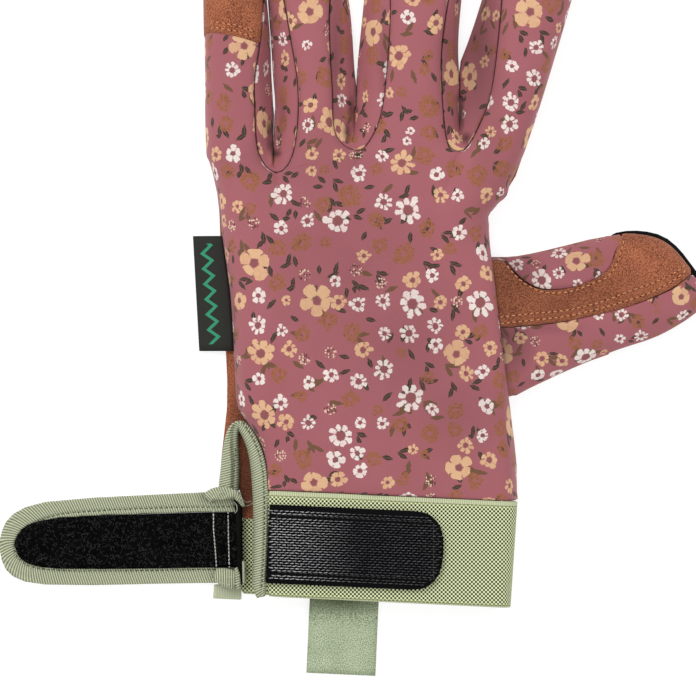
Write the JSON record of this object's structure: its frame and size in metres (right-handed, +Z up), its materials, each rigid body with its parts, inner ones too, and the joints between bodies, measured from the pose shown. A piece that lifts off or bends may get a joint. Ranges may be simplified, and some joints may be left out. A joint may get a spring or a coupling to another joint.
{
  "type": "gardening glove",
  "caption": "Left-hand gardening glove lying palm down, with a printed knit back, suede palm, elastic cuff and an open hook-and-loop strap.",
  "frame": {"origin": "middle of the palm on the surface that the glove lies on", "axes": "+X across the back of the hand towards the thumb, +Y along the middle finger to the fingertips, +Z up, out of the back of the hand"},
  "size_m": [0.2242, 0.2476, 0.0138],
  "materials": {
    "printed_knit": "matte",
    "brown_suede": "matte",
    "black_guard": "satin",
    "green_mesh": "matte",
    "green_tape": "matte",
    "green_brushed": "matte",
    "black_pile": "matte",
    "black_hook": "satin",
    "black_woven": "matte"
  },
  "bodies": {
    "root": {"back_panel": "printed_knit", "fourchette_little_ring": "printed_knit", "fourchette_ring_middle": "printed_knit", "fourchette_middle_index": "printed_knit", "thumb_floral_inset": "printed_knit", "thumb_floral_edge": "printed_knit", "palm_panel": "brown_suede", "fingertip_cap_little": "brown_suede", "fingertip_cap_ring": "brown_suede", "fingertip_cap_middle": "brown_suede", "fingertip_cap_index": "brown_suede", "thumb_back_suede": "brown_suede", "thumb_palm": "brown_suede", "thumb_tip_guard": "black_guard", "cuff_band": "green_mesh", "vent_binding_right": "green_tape", "vent_binding_left": "green_tape", "strap_body": "green_tape", "strap_binding": "green_tape", "binding_tail": "green_tape", "pull_tab": "green_brushed", "strap_loop_patch": "black_pile", "hook_patch": "black_hook", "side_label": "black_woven"}
  },
  "joints": []
}
